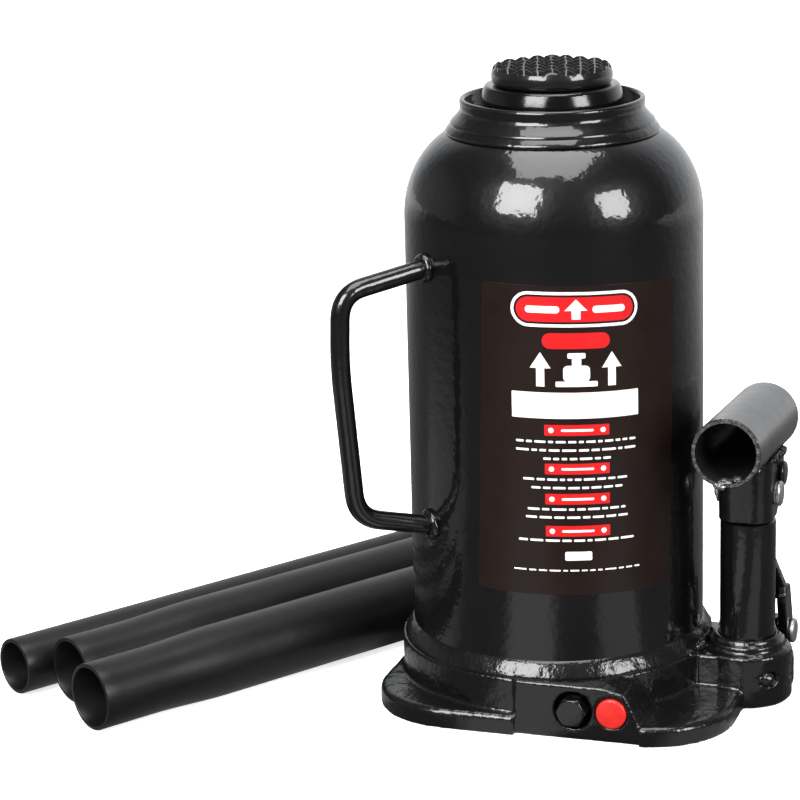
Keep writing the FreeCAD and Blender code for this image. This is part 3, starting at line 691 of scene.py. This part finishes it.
SOCKET_TILT = math.radians(3.8)
SOCKET_AXIS = Vector((0, math.cos(SOCKET_TILT), -math.sin(SOCKET_TILT)))
SOCKET_MOUTH = Vector((PUMP_X, -40.2, 107.7))
SOCKET_RIGHT = Vector((1, 0, 0))
SOCKET_UP = SOCKET_RIGHT.cross(SOCKET_AXIS).normalized()
SOCKET_R = 12.9
SOCKET_BORE_R = 11.4
SOCKET_LENGTH = 71.0


def socket_point(radius, angle, distance):
    """Point on the socket's own cylinder; angle 0 is right, 90 up."""
    out = SOCKET_RIGHT * math.cos(angle) + SOCKET_UP * math.sin(angle)
    return SOCKET_MOUTH + SOCKET_AXIS * distance + out * radius


def mouth_edge(a):
    """How far the sawn mouth stands back at an angle; the lower end is ragged."""
    low = math.exp(-((math.degrees(a) - 262) / 16) ** 2)
    d = 0.35 * noise.noise(Vector((math.cos(a) * 7, math.sin(a) * 7, 2.0))) + 0.25
    return max(0.0, d * (1 - 0.4 * low)) + 1.3 * low


SOCKET_SEGMENTS = 160
MOUTH_DEPTH = 2.5


def build_lever_socket():
    """Open tube with a sawn, slightly ragged mouth; material 1 is the bare cut metal."""
    bm = bmesh.new()
    stations = [0.0, 0.15, 0.5, 1.2, MOUTH_DEPTH]
    stations += [MOUTH_DEPTH + (SOCKET_LENGTH - MOUTH_DEPTH) * i / 30 for i in range(1, 30)]
    stations += [SOCKET_LENGTH - 0.7, SOCKET_LENGTH - 0.2, SOCKET_LENGTH]
    edge, chamfer = 0.4, 0.28
    outside = [(SOCKET_R - (chamfer if d < edge or d > SOCKET_LENGTH - edge else 0), d)
               for d in stations]
    inside = [(SOCKET_BORE_R, d) for d in stations[::-1]]
    rings = []
    for radius, distance in outside + inside:
        ring = []
        for k in range(SOCKET_SEGMENTS):
            a = 2 * math.pi * k / SOCKET_SEGMENTS
            back = mouth_edge(a) * max(0.0, 1 - distance / MOUTH_DEPTH)
            ring.append(bm.verts.new(socket_point(radius, a, distance + back)))
        rings.append(ring)
    count = len(stations)
    for i, face in enumerate(bridge(bm, rings, True)):
        if i // SOCKET_SEGMENTS in (0, count - 1, count, 2 * count - 1):
            face.material_index = 1
    for i, ring in enumerate(rings):
        if i < 3 or i > 2 * count - 3:
            for k, v in enumerate(ring):
                jag = noise.noise(Vector((k * 0.55, i * 0.7, 4.0)))
                centre = SOCKET_MOUTH + SOCKET_AXIS * (v.co - SOCKET_MOUTH).dot(SOCKET_AXIS)
                v.co += (v.co - centre).normalized() * 0.12 * jag
    return bm


socket = new_object("lever_socket_tube", build_lever_socket(), ["socket", "rawcut"],
                    "socket_body", angle=45)
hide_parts("lever_socket")

remeshed("socket_fork", "fork_pressed_sheet", 0.34, 3, "fork", "socket_body",
         rough=(0.05, 0.5))
remeshed("pump_link", "link_pressed_sheet", 0.36, 3, "gloss", "link_body",
         rough=(0.05, 0.4))


# disc that closes the socket's far end, just outside the bore
disc_line = [(0, 0.02), (12.3, 0.02), (12.6, 0.3), (12.5, 0.9), (12.0, 1.2), (0, 1.2)]
disc_bm = lathe([(r, SOCKET_LENGTH + d) for r, d in disc_line], 96)
along_socket = SOCKET_AXIS.to_track_quat("Z", "Y").to_matrix().to_4x4()
place(disc_bm, Matrix.Translation(SOCKET_MOUTH) @ along_socket)
new_object("socket_end_cap", disc_bm, "fork", "socket_body", angle=40)


def blob(centre, radii, seed, amount):
    """Smooth irregular weld lump in mm."""
    bm = bmesh.new()
    bmesh.ops.create_icosphere(bm, subdivisions=4, radius=1.0)
    for v in bm.verts:
        n = noise.noise(v.co * 1.6 + Vector((seed, seed * 2, 0)))
        p = v.co * (1 + amount * n)
        v.co = Vector(centre) + Vector((p.x * radii[0], p.y * radii[1], p.z * radii[2]))
    return bm


def bead(points, radius, seed, ripple):
    """Short weld run with overlapping ripples."""
    path = []
    for a, b in zip(points, points[1:]):
        n = max(2, int((b - a).length / 0.5))
        path += [a.lerp(b, i / n) for i in range(n)]
    path.append(points[-1])

    def size(i):
        t = i / (len(path) - 1)
        end = min(1.0, 4.0 * min(t, 1 - t) + 0.35)
        wave = 1 + ripple * math.sin(i * 1.5 + 1.2 * math.sin(i * 0.37 + seed))
        return radius * end * wave
    return tube_along(path, size, 22, lumpy(radius * 0.35, 0.55, seed))


# weld between the fork's cheeks and the underside of the socket
joint_beads = []
for sx, seed in ((1, 3.0), (-1, 8.0)):
    run = []
    for y in (-11.0, -6.0, 0.0, 6.0, 12.0, 15.5):
        along = (y + 40.2) / math.cos(SOCKET_TILT)
        angle = math.asin(-1) + sx * math.radians(51)
        run.append(socket_point(SOCKET_R, angle, along) + Vector((sx * 0.9, 0, -0.7)))
    joint_beads.append(bead(run, 1.5, seed, 0.2))
front = [socket_point(SOCKET_R, math.radians(-90 + d), (-12.0 + 40.2) / math.cos(SOCKET_TILT))
         + Vector((0, -0.2, -0.6)) for d in (-46, -30, -15, 0, 15, 30, 46)]
joint_beads.append(bead(front, 1.7, 5.0, 0.22))
drip = merged([blob(socket_point(10.9, math.radians(-92), 3.2), (2.6, 2.6, 1.0), 2.0, 0.5),
               blob(socket_point(10.9, math.radians(-70), 5.6), (1.9, 2.4, 0.8), 7.0, 0.5),
               blob(socket_point(12.6, math.radians(-100), 0.9), (2.2, 0.9, 1.3), 11.0, 0.5)])
new_object("socket_weld_spatter", drip, "blob", "socket_body", angle=80)
new_object("socket_weld_beads", merged(joint_beads), "cast", "socket_body",
           angle=80)


def pin_line(half, head_x):
    """(radius, x) outline of a headed pin with a domed head."""
    start = -half - 2.4
    return [(0, start), (2.3, start), (3.0, start + 0.6), (3.0, 0), (3.0, head_x), (4.6, head_x),
            (4.8, head_x + 0.25), (4.8, head_x + 0.9), (4.6, head_x + 1.35), (4.1, head_x + 1.7),
            (3.0, head_x + 1.92), (1.5, head_x + 2.0), (0, head_x + 2.0)]


TURN_X = Matrix.Rotation(math.pi / 2, 4, "Y")
members_of = frame["record"]["behaviour"]["bodies"]
for node, y, z, half, washer in (("plunger_pin", 0.0, 81.5, 10.3, 1.0),
                                 ("link_upper_pin", 10.0, 86.5, 10.3, 0.3),
                                 ("link_lower_pin", 20.0, 20.0, 12.8, 0.3)):
    bm = lathe(soften(pin_line(half, half + washer), 0.12, 2), 72)
    place(bm, Matrix.Translation((PUMP_X, y, z)) @ TURN_X)
    body = next(name for name, members in members_of.items() if node in members)
    finish = "fork" if node == "link_upper_pin" else "zinc"
    pin = new_object(node + "_headed", bm, finish, body, angle=35)
    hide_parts(node)

# ------------------------------------------------------------------ valves and plugs
remeshed("release_valve_spindle", "release_spindle_painted", 0.22, 2, "gloss",
         "spindle_body")
cap_line = [(0, -62.5), (4.6, -62.5), (5.3, -62.4), (5.65, -62.1), (5.75, -61.6), (5.75, -59.3),
            (0, -59.3)]
cap_bm = lathe(cap_line, 96)
TURN_Y = Matrix.Rotation(-math.pi / 2, 4, "X")
place(cap_bm, Matrix.Translation((37.2, 0, 11.3)) @ TURN_Y)
cap = new_object("safety_cap_moulded", cap_bm, "red", "jack_body", angle=50)
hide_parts("safety_valve_cap")

plug_line = [(0, 51.1), (4.2, 51.1), (4.98, 51.8), (4.98, 56.65), (6.9, 56.65), (7.35, 57.0),
             (7.4, 57.8), (7.1, 58.7), (6.2, 59.2), (2.6, 59.25), (2.4, 58.4), (0, 58.4)]
plug_bm = lathe(soften(plug_line, 0.25, 3), 96)
place(plug_bm, Matrix.Translation((0, 0, FILLER_Z)) @ TURN_Y)
plug = new_object("filler_plug_moulded", plug_bm, "rubber", "filler_plug_body",
                  angle=45)
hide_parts("filler_plug")

nub = blob((84.9, -11.9, 11.3), (3.2, 3.4, 3.2), 3.0, 0.08)
new_object("passage_plug_peening", nub, "cast", "jack_body", angle=80)

# weld run where the tank foot meets the pump arm
run = [polar(58.6, d, 21.6) for d in (-16, -12, -8, -4, 0, 4, 8, 12)]
spots = [bead(run, 1.6, 4.0, 0.2), blob(polar(59.4, -18, 21.6), (1.9, 2.4, 1.1), 6.0, 0.5),
         blob(polar(59.9, -9, 21.8), (1.8, 2.6, 1.2), 9.0, 0.5)]
new_object("arm_weld_run", merged(spots), "cast", "jack_body", angle=80)


def shorten_with_ball(node):
    """Gives the valve spring its own copy of its mesh."""
    spring = nodes[node]
    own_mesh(spring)


shorten_with_ball("safety_valve_spring")
shorten_with_ball("delivery_valve_spring")

# ------------------------------------------------------------------ lever tubes
TUBE_LAY = math.radians(57.6)
TUBE_LENGTH = 280.0
TUBE_WALL = 1.6
NECK_END, SHOULDER_END = 24.0, 60.0


def dented(co, a, i):
    """Faint unevenness of drawn tube."""
    n = noise.noise(Vector((math.cos(a) * 1.5, math.sin(a) * 1.5, co.z * 0.02)))
    return co + Vector((co.x, co.y, 0)).normalized() * 0.04 * n


def tube_outline(r, neck):
    """Closed (r, z) outline of a tube of radius r whose first end is drawn down to a neck."""
    line = [(neck - 0.35, 0.0), (neck - 0.08, 0.15), (neck, 0.6)]
    line += [(neck, 5.0 * i) for i in range(1, 5)]
    if r > neck:
        for i in range(21):
            swell = 0.5 - 0.5 * math.cos(math.pi * i / 20)
            line.append((neck + (r - neck) * swell, NECK_END + (SHOULDER_END - NECK_END) * i / 20))
    start, end = SHOULDER_END + 1.0, TUBE_LENGTH - 0.6
    line += [(r, start + (end - start) * i / 14) for i in range(1, 15)]
    line += [(r - 0.08, TUBE_LENGTH - 0.15), (r - 0.35, TUBE_LENGTH)]
    line += [(r - 1.35, TUBE_LENGTH), (r - TUBE_WALL, TUBE_LENGTH - 0.3), (r - TUBE_WALL, 44.0)]
    line += [(neck - TUBE_WALL, 36.0), (neck - TUBE_WALL, 0.35), (neck - 1.35, 0.0)]
    return line


for node, r, neck, start_along, start_across, body in (
        ("lever_outer_section", 14.0, 12.9, -167.8, 76.3, "lever_outer_body"),
        ("lever_middle_section", 14.0, 12.9, -157.5, 105.6, "lever_middle_body"),
        ("lever_socket_section", 11.0, 11.0, -167.0, 131.0, "lever_socket_section_body")):
    bm = ring_closed(tube_outline(r, neck), 144, dented)
    place(bm, Matrix.Rotation(TUBE_LAY, 4, "Z")
          @ Matrix.Translation((start_along, start_across, r))
          @ Matrix.Rotation(math.pi / 2, 4, "Y"))
    tube = new_object(node + "_tube", bm, "lever", body, angle=50)
    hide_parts(node)

# ------------------------------------------------------------------ rating label
LABEL_AZ = math.radians(-64.2)
SKEW = math.radians(-1.8)
LABEL_R = TANK_R
LABEL_Z = 111.6
LABEL_WIDTH = 2 * LABEL_R * math.asin(71.4 / 2 / LABEL_R)
LABEL_HEIGHT = 117.0
FILM = 0.2
LIFT = FILM + 0.01
OVERPRINT = LIFT + 0.06


def on_label(u, v, lift):
    """Point on the wrapped label: u across and v up from its middle, in mm of arc."""
    if lift > FILM:
        u -= 2.0 + 0.033 * v    # the print sits a little askew on its film
    uu = u * math.cos(SKEW) - v * math.sin(SKEW)
    vv = u * math.sin(SKEW) + v * math.cos(SKEW)
    a = LABEL_AZ + uu / LABEL_R
    r = LABEL_R + lift
    return Vector((r * math.cos(a), r * math.sin(a), LABEL_Z + vv))


def patch(bm, outline, lift, thick=0.05, grain=2.0):
    """Thin sheet wrapped on the tank from a flat outline of (u, v) points."""
    flat = bmesh.new()
    verts = [flat.verts.new((u, v, 0)) for u, v in outline]
    flat.faces.new(verts)
    us = [p[0] for p in outline]
    steps = max(0, int((max(us) - min(us)) / grain))
    for i in range(1, steps + 1):
        u = min(us) + (max(us) - min(us)) * i / (steps + 1)
        geom = flat.verts[:] + flat.edges[:] + flat.faces[:]
        bmesh.ops.bisect_plane(flat, geom=geom, plane_co=(u, 0, 0), plane_no=(1, 0, 0))
    bmesh.ops.triangulate(flat, faces=[f for f in flat.faces if len(f.verts) > 4])
    top = {}
    low = {}
    for v in flat.verts:
        top[v] = bm.verts.new(on_label(v.co.x, v.co.y, lift + thick))
        low[v] = bm.verts.new(on_label(v.co.x, v.co.y, lift))
    for f in flat.faces:
        bm.faces.new([top[v] for v in f.verts])
        bm.faces.new([low[v] for v in reversed(f.verts)])
    for e in flat.edges:
        if len(e.link_faces) == 1:
            a, b = e.verts
            bm.faces.new((top[a], top[b], low[b], low[a]))
    flat.free()


def rounded(cu, cv, w, h, r, n=8):
    """Rounded rectangle outline about a centre."""
    r = min(r, w / 2 - 1e-3, h / 2 - 1e-3)
    pts = []
    for qx, qy, start in ((1, 1, 0), (-1, 1, 90), (-1, -1, 180), (1, -1, 270)):
        for i in range(n + 1):
            t = math.radians(start + 90 * i / n)
            pts.append((cu + qx * (w / 2 - r) + r * math.cos(t),
                        cv + qy * (h / 2 - r) + r * math.sin(t)))
    return pts


label_bm = bmesh.new()
patch(label_bm, rounded(0, 0, LABEL_WIDTH, LABEL_HEIGHT, 1.6), 0.0, FILM)
label = new_object("rating_label_film", label_bm, "label", "jack_body", angle=50)
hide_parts("rating_label")

white = bmesh.new()
red = bmesh.new()


def white_box(u, v, w, h, r):
    """White rounded block centred at (u, v)."""
    patch(white, rounded(u, v, w, h, r, 4), LIFT)


def red_box(u, v, w, h, r):
    """Red rounded block centred at (u, v)."""
    patch(red, rounded(u, v, w, h, r, 6), LIFT)


def ring_shape(bm, u, v, w, h, line, r):
    """Outline frame of a rounded rectangle, as a closed band."""
    out = rounded(u, v, w, h, r, 10)
    inn = rounded(u, v, w - 2 * line, h - 2 * line, max(0.2, r - line), 10)
    n = len(out)
    for i in range(n):
        j = (i + 1) % n
        if (Vector(out[i]) - Vector(out[j])).length < 1e-6:
            continue
        seg = max(1, int((Vector(out[i]) - Vector(out[j])).length / 2.5))
        for s in range(seg):
            t0, t1 = s / seg, (s + 1) / seg
            q = [Vector(out[i]).lerp(out[j], t0), Vector(out[i]).lerp(out[j], t1),
                 Vector(inn[i]).lerp(inn[j], t1), Vector(inn[i]).lerp(inn[j], t0)]
            patch(bm, [tuple(p) for p in q], LIFT)


dash_lengths = random.Random(7)


def dashes(u, v, width, height=0.85):
    """Row of plain dashes in place of a printed line."""
    at = u - width / 2
    while at < u + width / 2 - 1.0:
        length = min(dash_lengths.uniform(1.6, 5.4), u + width / 2 - at)
        patch(white, rounded(at + length / 2, v, length, height, 0.25, 2), LIFT)
        at += length + 0.9


# emblem: outlined red capsule with a plain lifting arrow between two bars
ring_shape(white, 0.0, 49.8, 47.4, 13.0, 1.1, 6.5)
red_box(0.0, 49.8, 43.6, 9.2, 4.6)
for side in (-1, 1):
    patch(white, rounded(side * 12.2, 49.8, 12.4, 2.6, 1.2, 4), OVERPRINT)
patch(white, [(-4.2, 49.4), (0.0, 53.6), (4.2, 49.4), (1.6, 49.4), (1.6, 46.2), (-1.6, 46.2),
              (-1.6, 49.4)], OVERPRINT)
# small capsule
red_box(0.0, 38.2, 25.0, 5.9, 2.95)
# pictogram: a jack seen from the side, wide base, tank, thin ram and head, between two arrows
white_box(0.0, 22.1, 15.4, 2.0, 0.4)
white_box(0.0, 26.0, 9.8, 6.0, 1.6)
white_box(0.0, 30.2, 3.4, 3.2, 0.1)
white_box(0.0, 32.7, 6.6, 2.0, 0.5)
for side in (-1, 1):
    u = side * 13.2
    patch(white, [(u - 3.8, 28.0), (u, 33.9), (u + 3.8, 28.0), (u + 1.5, 28.0), (u + 1.5, 21.1),
                  (u - 1.5, 21.1), (u - 1.5, 28.0)], LIFT)
# blank writing panel
white_box(0.0, 14.0, 47.6, 9.8, 0.3)
# four red blocks, each with thin rules below
rows = [(4.7, (0.3, 45.0), (-2.9, 45.0), (-6.1, 25.0)),
        (-10.0, (-14.0, 40.0), (-17.2, 34.0)),
        (-21.5, (-25.4, 37.0), (-28.5, 38.5)),
        (-33.8, (-37.4, 44.0))]
for row in rows:
    red_box(0.0, row[0], 24.0, 4.1, 0.3)
    for side in (-1, 1):
        patch(white, rounded(side * 9.6, row[0], 2.0, 2.0, 1.0, 4), OVERPRINT)
    patch(white, rounded(0.0, row[0], 12.0, 0.9, 0.4, 2), OVERPRINT)
    for v, w in row[1:]:
        dashes(0.0, v, w)
white_box(0.0, -43.4, 10.0, 3.4, 0.6)
dashes(0.0, -49.0, 48.0, 0.6)
new_object("label_white_print", white, "ink_white", "jack_body", angle=50)
new_object("label_red_print", red, "ink_red", "jack_body", angle=50)


# ------------------------------------------------------------------ stage, light and camera
def painted_reflection_glow(tree, x, y):
    """Painted reflection glow of the floor, seen only in reflections: more with distance, and painted
    highlight bands in three sectors.
    """
    far = smooth_range(tree, y, 0.1, 1.4, 0.07, 0.9)
    azimuth = math_node(tree, "ARCTAN2", x, math_node(tree, "MULTIPLY", y, -1.0))
    sectors = 0.0
    # painted highlight bands: three sectors of extra glow, seen in the tank and pump tube
    for centre, half, level in ((-2.0, 20.0, 0.75), (56.0, 18.0, 0.5), (-75.0, 26.0, 0.3)):
        turned = math_node(tree, "SUBTRACT", azimuth, math.radians(centre))
        away = math_node(tree, "ABSOLUTE", turned)
        part = smooth_range(tree, away, math.radians(half * 0.55), math.radians(half), level, 0)
        sectors = math_node(tree, "ADD", sectors, part)
    squares = [math_node(tree, "MULTIPLY", axis, axis) for axis in (x, y)]
    reach = math_node(tree, "SQRT", math_node(tree, "ADD", *squares))
    near = smooth_range(tree, reach, 0.3, 0.7, 1.0, 0)
    return math_node(tree, "ADD", far, math_node(tree, "MULTIPLY", sectors, near))


def floor_material():
    """Pale floor that stays dim in the paint's reflections, as a backdrop cut away does, yet glows
    there as a painted reflection.
    """
    m = bpy.data.materials.new("studio_floor")
    m.use_nodes = True
    nt = m.node_tree
    bsdf = nt.nodes["Principled BSDF"]
    speckle = nt.nodes.new("ShaderNodeTexNoise")
    speckle.inputs["Scale"].default_value = 3.0
    pale = nt.nodes.new("ShaderNodeValToRGB")
    pale.color_ramp.elements[0].color = (0.93, 0.93, 0.93, 1)
    pale.color_ramp.elements[1].color = (0.95, 0.95, 0.95, 1)
    nt.links.new(speckle.outputs["Fac"], pale.inputs[0])
    path = nt.nodes.new("ShaderNodeLightPath")
    seen_or_not = nt.nodes.new("ShaderNodeMix")
    seen_or_not.data_type = "RGBA"
    nt.links.new(path.outputs["Is Camera Ray"], seen_or_not.inputs["Factor"])
    seen_or_not.inputs["A"].default_value = (0.035, 0.035, 0.035, 1)
    nt.links.new(pale.outputs[0], seen_or_not.inputs["B"])
    nt.links.new(seen_or_not.outputs["Result"], bsdf.inputs["Base Color"])
    bsdf.inputs["Roughness"].default_value = 0.9
    bsdf.inputs["Specular IOR Level"].default_value = 0.0
    bsdf.inputs["Emission Color"].default_value = (1, 1, 1, 1)
    spot = nt.nodes.new("ShaderNodeTexCoord")
    axes = nt.nodes.new("ShaderNodeSeparateXYZ")
    nt.links.new(spot.outputs["Object"], axes.inputs[0])
    # painted reflection: to all but camera rays the floor glows, brighter far off and in three sectors;
    # to the camera it glows evenly at 0.75
    glow = nt.nodes.new("ShaderNodeMix")
    nt.links.new(path.outputs["Is Camera Ray"], glow.inputs["Factor"])
    nt.links.new(painted_reflection_glow(nt, axes.outputs["X"], axes.outputs["Y"]), glow.inputs["A"])
    glow.inputs["B"].default_value = 0.75
    nt.links.new(glow.outputs["Result"], bsdf.inputs["Emission Strength"])
    return m


floor_mesh = bpy.data.meshes.new("floor")
floor_bm = bmesh.new()
bmesh.ops.create_grid(floor_bm, x_segments=8, y_segments=8, size=8.0)
for v in floor_bm.verts:
    v.co.z = -0.3 * MM
floor_bm.to_mesh(floor_mesh)
floor_bm.free()
floor_mesh.materials.append(floor_material())
floor = bpy.data.objects.new("floor", floor_mesh)
bpy.context.scene.collection.objects.link(floor)

AIM = Vector((0.0, 0.0, 0.15))


def softbox(name, az, el, distance, half_width, half_height, radiance):
    """Area light seen from AIM at an azimuth (0 = front, positive to the right) and elevation;
    its half sizes are angles, all in degrees."""
    width, height = (2 * distance * math.tan(math.radians(h)) for h in (half_width, half_height))
    data = bpy.data.lights.new(name, "AREA")
    data.shape = "RECTANGLE"
    data.size = width
    data.size_y = height
    data.energy = radiance * width * height * math.pi
    obj = bpy.data.objects.new(name, data)
    bpy.context.scene.collection.objects.link(obj)
    a, e = math.radians(az), math.radians(el)
    back = Vector((math.sin(a) * math.cos(e), -math.cos(a) * math.cos(e), math.sin(e)))
    obj.location = AIM + back * distance
    obj.rotation_mode = "QUATERNION"
    obj.rotation_quaternion = back.to_track_quat("Z", "Y")


softbox("key_left", -14, 34, 1.8, 15, 16, 17.0)
softbox("fill_right", 65, 23, 1.8, 11, 12.5, 15.0)
softbox("overhead", 10, 84, 1.6, 20, 23, 6.3)

# the world is white to the camera and darker, by direction, to everything else
world = bpy.data.worlds.new("studio")
bpy.context.scene.world = world
world.use_nodes = True
nt = world.node_tree
nt.nodes.clear()
out = nt.nodes.new("ShaderNodeOutputWorld")
mix = nt.nodes.new("ShaderNodeMixShader")
path = nt.nodes.new("ShaderNodeLightPath")
seen = nt.nodes.new("ShaderNodeBackground")
seen.inputs[0].default_value = (1, 1, 1, 1)
seen.inputs[1].default_value = 1.0
fill = nt.nodes.new("ShaderNodeBackground")
fill.inputs[0].default_value = (0.95, 0.97, 1.0, 1)
where = nt.nodes.new("ShaderNodeTexCoord")
axes = nt.nodes.new("ShaderNodeSeparateXYZ")
nt.links.new(where.outputs["Generated"], axes.inputs[0])
behind = smooth_range(nt, axes.outputs["Y"], 0.35, 0.95, 0.09, 1.0)
beside = smooth_range(nt, axes.outputs["X"], -0.8, -0.98, 0.0, 0.2)
nt.links.new(math_node(nt, "ADD", behind, beside), fill.inputs[1])
nt.links.new(path.outputs["Is Camera Ray"], mix.inputs[0])
nt.links.new(fill.outputs[0], mix.inputs[1])
nt.links.new(seen.outputs[0], mix.inputs[2])
nt.links.new(mix.outputs[0], out.inputs[0])

cam_data = bpy.data.cameras.new("camera")
cam_data.lens = 133.365
cam_data.sensor_width = 36.0
cam_data.shift_x = -0.0622
cam_data.shift_y = 0.0090
cam_data.clip_start = 0.05
cam_data.clip_end = 50
camera = bpy.data.objects.new("camera", cam_data)
bpy.context.scene.collection.objects.link(camera)
right = Vector((0.95236, 0.30421, -0.02136))
up = Vector((-0.06299, 0.26476, 0.96226))
toward = right.cross(up).normalized()
turn = Matrix((right, up, toward)).transposed()
place_mm = Vector((299.211, -1048.462, 417.552))
camera.matrix_world = Matrix.Translation(place_mm * MM) @ turn.to_4x4()
bpy.context.scene.camera = camera
bpy.context.scene.view_settings.view_transform = "Standard"
